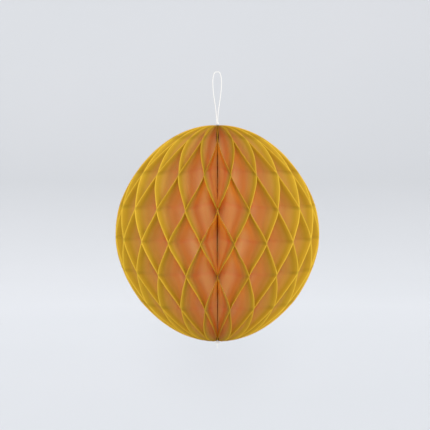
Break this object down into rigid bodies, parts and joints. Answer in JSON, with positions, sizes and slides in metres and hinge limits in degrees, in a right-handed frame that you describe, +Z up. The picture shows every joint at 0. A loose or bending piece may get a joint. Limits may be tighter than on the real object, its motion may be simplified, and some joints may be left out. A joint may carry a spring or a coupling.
{
  "type": "paper honeycomb ball",
  "caption": "Hanging honeycomb ball of mustard tissue leaves glued in a zigzag round a hollow spine. It folds flat between two half-round cover boards and turns and swings on its thread.",
  "frame": {"origin": "hook seat: the inner top of the hanging loop, where it rests on a hook", "axes": "+Z up along the hanging thread and the ball's spine, -Y towards the front, +X to the viewer's right"},
  "size_m": [0.1882, 0.1884, 0.2522],
  "materials": {
    "tissue": "matte tissue, mustard",
    "board": "uncoated greyboard",
    "thread": "twisted cotton, natural white",
    "tape": "double-sided tape"
  },
  "bodies": {
    "loop": {"hanging_loop": "thread"},
    "knot": {"loop_knot": "thread"},
    "thread": {"spine_cord": "thread", "stop_knot": "thread"},
    "middle_leaf": {"tissue_sheet_20": "tissue"},
    "leaf_01": {"tissue_sheet_01": "tissue"},
    "leaf_02": {"tissue_sheet_02": "tissue"},
    "leaf_03": {"tissue_sheet_03": "tissue"},
    "leaf_04": {"tissue_sheet_04": "tissue"},
    "leaf_05": {"tissue_sheet_05": "tissue"},
    "leaf_06": {"tissue_sheet_06": "tissue"},
    "leaf_07": {"tissue_sheet_07": "tissue"},
    "leaf_08": {"tissue_sheet_08": "tissue"},
    "leaf_09": {"tissue_sheet_09": "tissue"},
    "leaf_10": {"tissue_sheet_10": "tissue"},
    "leaf_11": {"tissue_sheet_11": "tissue"},
    "leaf_12": {"tissue_sheet_12": "tissue"},
    "leaf_13": {"tissue_sheet_13": "tissue"},
    "leaf_14": {"tissue_sheet_14": "tissue"},
    "leaf_15": {"tissue_sheet_15": "tissue"},
    "leaf_16": {"tissue_sheet_16": "tissue"},
    "leaf_17": {"tissue_sheet_17": "tissue"},
    "leaf_18": {"tissue_sheet_18": "tissue"},
    "leaf_19": {"tissue_sheet_19": "tissue"},
    "leaf_21": {"tissue_sheet_21": "tissue"},
    "leaf_22": {"tissue_sheet_22": "tissue"},
    "leaf_23": {"tissue_sheet_23": "tissue"},
    "leaf_24": {"tissue_sheet_24": "tissue"},
    "leaf_25": {"tissue_sheet_25": "tissue"},
    "leaf_26": {"tissue_sheet_26": "tissue"},
    "leaf_27": {"tissue_sheet_27": "tissue"},
    "leaf_28": {"tissue_sheet_28": "tissue"},
    "leaf_29": {"tissue_sheet_29": "tissue"},
    "leaf_30": {"tissue_sheet_30": "tissue"},
    "leaf_31": {"tissue_sheet_31": "tissue"},
    "leaf_32": {"tissue_sheet_32": "tissue"},
    "leaf_33": {"tissue_sheet_33": "tissue"},
    "leaf_34": {"tissue_sheet_34": "tissue"},
    "leaf_35": {"tissue_sheet_35": "tissue"},
    "leaf_36": {"tissue_sheet_36": "tissue"},
    "leaf_37": {"tissue_sheet_37": "tissue"},
    "leaf_38": {"tissue_sheet_38": "tissue"},
    "leaf_39": {"tissue_sheet_39": "tissue"},
    "leaf_40": {"tissue_sheet_40": "tissue"},
    "start_cover": {"cover_board_start": "board", "adhesive_strip_1": "tape", "adhesive_strip_2": "tape", "adhesive_strip_3": "tape"},
    "end_cover": {"cover_board_end": "board"}
  },
  "joints": [
    {"name": "swing_front_back", "type": "hinge", "parent": "loop", "child": "knot", "pos_m": [0, 0, -0.0464], "axis": [1, 0, 0], "range_deg": [-90, 90]},
    {"name": "swing_side", "type": "hinge", "parent": "knot", "child": "thread", "pos_m": [0, 0, -0.0464], "axis": [0, 1, 0], "range_deg": [-90, 90]},
    {"name": "spin", "type": "hinge", "parent": "thread", "child": "middle_leaf", "pos_m": [0, 0, -0.148], "axis": [0, 0, 1], "continuous": true},
    {"name": "fold", "type": "hinge", "parent": "middle_leaf", "child": "end_cover", "pos_m": [0.00135, -0.00202, -0.148], "axis": [0, 0, -1], "range_deg": [0, 184.5]},
    {"name": "fold_start_cover", "type": "hinge", "parent": "middle_leaf", "child": "start_cover", "pos_m": [-0.00129, 0.00194, -0.148], "axis": [0, 0, 1], "range_deg": [-0.5, 176]},
    {"name": "fold_leaf_01", "type": "hinge", "parent": "middle_leaf", "child": "leaf_01", "pos_m": [-0.00132, 0.00186, -0.148], "axis": [0, 0, 1], "range_deg": [-0.5, 171.5]},
    {"name": "fold_leaf_02", "type": "hinge", "parent": "middle_leaf", "child": "leaf_02", "pos_m": [-0.00136, 0.00172, -0.148], "axis": [0, 0, 1], "range_deg": [-0.5, 162.5]},
    {"name": "fold_leaf_03", "type": "hinge", "parent": "middle_leaf", "child": "leaf_03", "pos_m": [-0.0014, 0.00158, -0.148], "axis": [0, 0, 1], "range_deg": [-0.5, 153.5]},
    {"name": "fold_leaf_04", "type": "hinge", "parent": "middle_leaf", "child": "leaf_04", "pos_m": [-0.00143, 0.00144, -0.148], "axis": [0, 0, 1], "range_deg": [-0.5, 144.5]},
    {"name": "fold_leaf_05", "type": "hinge", "parent": "middle_leaf", "child": "leaf_05", "pos_m": [-0.00145, 0.00131, -0.148], "axis": [0, 0, 1], "range_deg": [-0.5, 135.5]},
    {"name": "fold_leaf_06", "type": "hinge", "parent": "middle_leaf", "child": "leaf_06", "pos_m": [-0.00147, 0.00118, -0.148], "axis": [0, 0, 1], "range_deg": [-0.5, 126.5]},
    {"name": "fold_leaf_07", "type": "hinge", "parent": "middle_leaf", "child": "leaf_07", "pos_m": [-0.00149, 0.00104, -0.148], "axis": [0, 0, 1], "range_deg": [-0.5, 117.5]},
    {"name": "fold_leaf_08", "type": "hinge", "parent": "middle_leaf", "child": "leaf_08", "pos_m": [-0.0015, 0.00091, -0.148], "axis": [0, 0, 1], "range_deg": [-0.5, 108.5]},
    {"name": "fold_leaf_09", "type": "hinge", "parent": "middle_leaf", "child": "leaf_09", "pos_m": [-0.0015, 0.00078, -0.148], "axis": [0, 0, 1], "range_deg": [-0.5, 99.5]},
    {"name": "fold_leaf_10", "type": "hinge", "parent": "middle_leaf", "child": "leaf_10", "pos_m": [-0.00149, 0.00064, -0.148], "axis": [0, 0, 1], "range_deg": [-0.5, 90.5]},
    {"name": "fold_leaf_11", "type": "hinge", "parent": "middle_leaf", "child": "leaf_11", "pos_m": [-0.00149, 0.00051, -0.148], "axis": [0, 0, 1], "range_deg": [-0.5, 81.5]},
    {"name": "fold_leaf_12", "type": "hinge", "parent": "middle_leaf", "child": "leaf_12", "pos_m": [-0.00147, 0.00038, -0.148], "axis": [0, 0, 1], "range_deg": [-0.5, 72.5]},
    {"name": "fold_leaf_13", "type": "hinge", "parent": "middle_leaf", "child": "leaf_13", "pos_m": [-0.00145, 0.00025, -0.148], "axis": [0, 0, 1], "range_deg": [-0.5, 63.5]},
    {"name": "fold_leaf_14", "type": "hinge", "parent": "middle_leaf", "child": "leaf_14", "pos_m": [-0.00142, 0.00012, -0.148], "axis": [0, 0, 1], "range_deg": [-0.5, 54.5]},
    {"name": "fold_leaf_15", "type": "hinge", "parent": "middle_leaf", "child": "leaf_15", "pos_m": [-0.00138, -0.00001, -0.148], "axis": [0, 0, 1], "range_deg": [-0.5, 45.5]},
    {"name": "fold_leaf_16", "type": "hinge", "parent": "middle_leaf", "child": "leaf_16", "pos_m": [-0.00134, -0.00014, -0.148], "axis": [0, 0, 1], "range_deg": [-0.5, 36.5]},
    {"name": "fold_leaf_17", "type": "hinge", "parent": "middle_leaf", "child": "leaf_17", "pos_m": [-0.00129, -0.00027, -0.148], "axis": [0, 0, 1], "range_deg": [-0.5, 27.5]},
    {"name": "fold_leaf_18", "type": "hinge", "parent": "middle_leaf", "child": "leaf_18", "pos_m": [-0.00124, -0.00039, -0.148], "axis": [0, 0, 1], "range_deg": [-0.5, 18.5]},
    {"name": "fold_leaf_19", "type": "hinge", "parent": "middle_leaf", "child": "leaf_19", "pos_m": [-0.00117, -0.00051, -0.148], "axis": [0, 0, 1], "range_deg": [-0.5, 9.5]},
    {"name": "fold_leaf_21", "type": "hinge", "parent": "middle_leaf", "child": "leaf_21", "pos_m": [-0.00103, -0.00075, -0.148], "axis": [0, 0, -1], "range_deg": [-0.5, 9.5]},
    {"name": "fold_leaf_22", "type": "hinge", "parent": "middle_leaf", "child": "leaf_22", "pos_m": [-0.00095, -0.00086, -0.148], "axis": [0, 0, -1], "range_deg": [-0.5, 18.5]},
    {"name": "fold_leaf_23", "type": "hinge", "parent": "middle_leaf", "child": "leaf_23", "pos_m": [-0.00086, -0.00097, -0.148], "axis": [0, 0, -1], "range_deg": [-0.5, 27.5]},
    {"name": "fold_leaf_24", "type": "hinge", "parent": "middle_leaf", "child": "leaf_24", "pos_m": [-0.00077, -0.00107, -0.148], "axis": [0, 0, -1], "range_deg": [-0.5, 36.5]},
    {"name": "fold_leaf_25", "type": "hinge", "parent": "middle_leaf", "child": "leaf_25", "pos_m": [-0.00067, -0.00117, -0.148], "axis": [0, 0, -1], "range_deg": [-0.5, 45.5]},
    {"name": "fold_leaf_26", "type": "hinge", "parent": "middle_leaf", "child": "leaf_26", "pos_m": [-0.00057, -0.00126, -0.148], "axis": [0, 0, -1], "range_deg": [-0.5, 54.5]},
    {"name": "fold_leaf_27", "type": "hinge", "parent": "middle_leaf", "child": "leaf_27", "pos_m": [-0.00046, -0.00135, -0.148], "axis": [0, 0, -1], "range_deg": [-0.5, 63.5]},
    {"name": "fold_leaf_28", "type": "hinge", "parent": "middle_leaf", "child": "leaf_28", "pos_m": [-0.00035, -0.00143, -0.148], "axis": [0, 0, -1], "range_deg": [-0.5, 72.5]},
    {"name": "fold_leaf_29", "type": "hinge", "parent": "middle_leaf", "child": "leaf_29", "pos_m": [-0.00024, -0.00151, -0.148], "axis": [0, 0, -1], "range_deg": [-0.5, 81.5]},
    {"name": "fold_leaf_30", "type": "hinge", "parent": "middle_leaf", "child": "leaf_30", "pos_m": [-0.00012, -0.00158, -0.148], "axis": [0, 0, -1], "range_deg": [-0.5, 90.5]},
    {"name": "fold_leaf_31", "type": "hinge", "parent": "middle_leaf", "child": "leaf_31", "pos_m": [0, -0.00164, -0.148], "axis": [0, 0, -1], "range_deg": [-0.5, 99.5]},
    {"name": "fold_leaf_32", "type": "hinge", "parent": "middle_leaf", "child": "leaf_32", "pos_m": [0.00013, -0.0017, -0.148], "axis": [0, 0, -1], "range_deg": [-0.5, 108.5]},
    {"name": "fold_leaf_33", "type": "hinge", "parent": "middle_leaf", "child": "leaf_33", "pos_m": [0.00025, -0.00176, -0.148], "axis": [0, 0, -1], "range_deg": [-0.5, 117.5]},
    {"name": "fold_leaf_34", "type": "hinge", "parent": "middle_leaf", "child": "leaf_34", "pos_m": [0.00039, -0.00181, -0.148], "axis": [0, 0, -1], "range_deg": [-0.5, 126.5]},
    {"name": "fold_leaf_35", "type": "hinge", "parent": "middle_leaf", "child": "leaf_35", "pos_m": [0.00052, -0.00185, -0.148], "axis": [0, 0, -1], "range_deg": [-0.5, 135.5]},
    {"name": "fold_leaf_36", "type": "hinge", "parent": "middle_leaf", "child": "leaf_36", "pos_m": [0.00066, -0.00189, -0.148], "axis": [0, 0, -1], "range_deg": [-0.5, 144.5]},
    {"name": "fold_leaf_37", "type": "hinge", "parent": "middle_leaf", "child": "leaf_37", "pos_m": [0.0008, -0.00193, -0.148], "axis": [0, 0, -1], "range_deg": [-0.5, 153.5]},
    {"name": "fold_leaf_38", "type": "hinge", "parent": "middle_leaf", "child": "leaf_38", "pos_m": [0.00095, -0.00196, -0.148], "axis": [0, 0, -1], "range_deg": [-0.5, 162.5]},
    {"name": "fold_leaf_39", "type": "hinge", "parent": "middle_leaf", "child": "leaf_39", "pos_m": [0.0011, -0.00199, -0.148], "axis": [0, 0, -1], "range_deg": [-0.5, 171.5]},
    {"name": "fold_leaf_40", "type": "hinge", "parent": "middle_leaf", "child": "leaf_40", "pos_m": [0.00127, -0.00201, -0.148], "axis": [0, 0, -1], "range_deg": [-0.5, 180.5]}
  ],
  "couplings": [
    {"joint": "fold_start_cover", "follows": "fold", "ratio": 0.95122},
    {"joint": "fold_leaf_01", "follows": "fold", "ratio": 0.92683},
    {"joint": "fold_leaf_02", "follows": "fold", "ratio": 0.87805},
    {"joint": "fold_leaf_03", "follows": "fold", "ratio": 0.82927},
    {"joint": "fold_leaf_04", "follows": "fold", "ratio": 0.78049},
    {"joint": "fold_leaf_05", "follows": "fold", "ratio": 0.73171},
    {"joint": "fold_leaf_06", "follows": "fold", "ratio": 0.68293},
    {"joint": "fold_leaf_07", "follows": "fold", "ratio": 0.63415},
    {"joint": "fold_leaf_08", "follows": "fold", "ratio": 0.58537},
    {"joint": "fold_leaf_09", "follows": "fold", "ratio": 0.53659},
    {"joint": "fold_leaf_10", "follows": "fold", "ratio": 0.4878},
    {"joint": "fold_leaf_11", "follows": "fold", "ratio": 0.43902},
    {"joint": "fold_leaf_12", "follows": "fold", "ratio": 0.39024},
    {"joint": "fold_leaf_13", "follows": "fold", "ratio": 0.34146},
    {"joint": "fold_leaf_14", "follows": "fold", "ratio": 0.29268},
    {"joint": "fold_leaf_15", "follows": "fold", "ratio": 0.2439},
    {"joint": "fold_leaf_16", "follows": "fold", "ratio": 0.19512},
    {"joint": "fold_leaf_17", "follows": "fold", "ratio": 0.14634},
    {"joint": "fold_leaf_18", "follows": "fold", "ratio": 0.097561},
    {"joint": "fold_leaf_19", "follows": "fold", "ratio": 0.04878},
    {"joint": "fold_leaf_21", "follows": "fold", "ratio": 0.04878},
    {"joint": "fold_leaf_22", "follows": "fold", "ratio": 0.097561},
    {"joint": "fold_leaf_23", "follows": "fold", "ratio": 0.14634},
    {"joint": "fold_leaf_24", "follows": "fold", "ratio": 0.19512},
    {"joint": "fold_leaf_25", "follows": "fold", "ratio": 0.2439},
    {"joint": "fold_leaf_26", "follows": "fold", "ratio": 0.29268},
    {"joint": "fold_leaf_27", "follows": "fold", "ratio": 0.34146},
    {"joint": "fold_leaf_28", "follows": "fold", "ratio": 0.39024},
    {"joint": "fold_leaf_29", "follows": "fold", "ratio": 0.43902},
    {"joint": "fold_leaf_30", "follows": "fold", "ratio": 0.4878},
    {"joint": "fold_leaf_31", "follows": "fold", "ratio": 0.53659},
    {"joint": "fold_leaf_32", "follows": "fold", "ratio": 0.58537},
    {"joint": "fold_leaf_33", "follows": "fold", "ratio": 0.63415},
    {"joint": "fold_leaf_34", "follows": "fold", "ratio": 0.68293},
    {"joint": "fold_leaf_35", "follows": "fold", "ratio": 0.73171},
    {"joint": "fold_leaf_36", "follows": "fold", "ratio": 0.78049},
    {"joint": "fold_leaf_37", "follows": "fold", "ratio": 0.82927},
    {"joint": "fold_leaf_38", "follows": "fold", "ratio": 0.87805},
    {"joint": "fold_leaf_39", "follows": "fold", "ratio": 0.92683},
    {"joint": "fold_leaf_40", "follows": "fold", "ratio": 0.97561}
  ]
}
